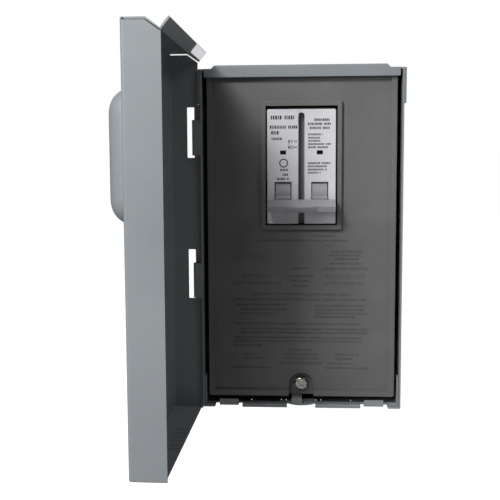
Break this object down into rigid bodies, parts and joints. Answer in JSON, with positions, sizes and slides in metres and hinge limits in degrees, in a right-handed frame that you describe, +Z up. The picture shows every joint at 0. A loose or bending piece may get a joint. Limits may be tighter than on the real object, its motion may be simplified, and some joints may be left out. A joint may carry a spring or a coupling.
{
  "type": "disconnect switch enclosure",
  "caption": "Small grey sheet-steel outdoor disconnect with a side-hinged hooded door, a dark inner cover and a tied two-pole toggle switch.",
  "frame": {"origin": "middle of the back face, on the wall", "axes": "+X to the right seen from the front, -Y out of the wall, +Z up"},
  "size_m": [0.1834, 0.2176, 0.2511],
  "materials": {
    "painted_steel": "light grey powder coat, satin",
    "dark_cover": "dark grey moulded plastic, fine texture",
    "light_face": "pale grey moulded plastic, fine grain",
    "handle_grey": "mid grey moulded plastic",
    "black_insulator": "black moulded insulator",
    "crossbar_red": "red-brown moulded insulator",
    "flag_green": "dark green",
    "lens": "clear",
    "zinc_steel": "bright zinc plated",
    "plain_steel": "plain steel",
    "lug_aluminium": "tin plated aluminium",
    "copper": "bare copper"
  },
  "bodies": {
    "enclosure": {"box_shell": "painted_steel", "top_wall": "painted_steel", "bottom_wall": "painted_steel", "knockout_slugs": "painted_steel", "deadfront": "dark_cover", "deadfront_screw": "zinc_steel", "deadfront_bracket": "painted_steel", "base_plate": "black_insulator", "base_screws": "zinc_steel", "switch_case": "black_insulator", "cover_screws": "zinc_steel", "switch_cover": "light_face", "indicator_lenses": "lens", "line_terminals": "copper", "load_terminals": "copper", "terminal_screws": "zinc_steel", "line_lugs": "lug_aluminium", "line_lug_screws": "lug_aluminium", "load_lugs": "lug_aluminium", "load_lug_screws": "lug_aluminium", "arc_plates": "plain_steel", "ground_bar": "lug_aluminium", "ground_bar_screws": "zinc_steel", "ground_wire_screws": "zinc_steel"},
    "door": {"door_panel": "painted_steel"},
    "handle": {"toggle_left": "handle_grey", "toggle_right": "handle_grey", "tie_bar": "handle_grey", "toggle_axle": "plain_steel", "toggle_springs": "plain_steel"},
    "contacts": {"crossbar": "crossbar_red", "contact_blades": "copper", "indicator_flags": "flag_green"}
  },
  "joints": [
    {"name": "door_hinge", "type": "hinge", "parent": "enclosure", "child": "door", "pos_m": [-0.0722, -0.0724, 0], "axis": [0, 0, 1], "range_deg": [-88.8, 91.2]},
    {"name": "handle_throw", "type": "hinge", "parent": "enclosure", "child": "handle", "pos_m": [0, -0.063, 0.0325], "axis": [-1, 0, 0], "range_deg": [0, 44]},
    {"name": "contact_swing", "type": "hinge", "parent": "enclosure", "child": "contacts", "pos_m": [0, -0.04, 0.03], "axis": [-1, 0, 0], "range_deg": [0, 32.01]}
  ],
  "couplings": [
    {"joint": "contact_swing", "follows": "handle_throw", "ratio": 0.72727}
  ]
}
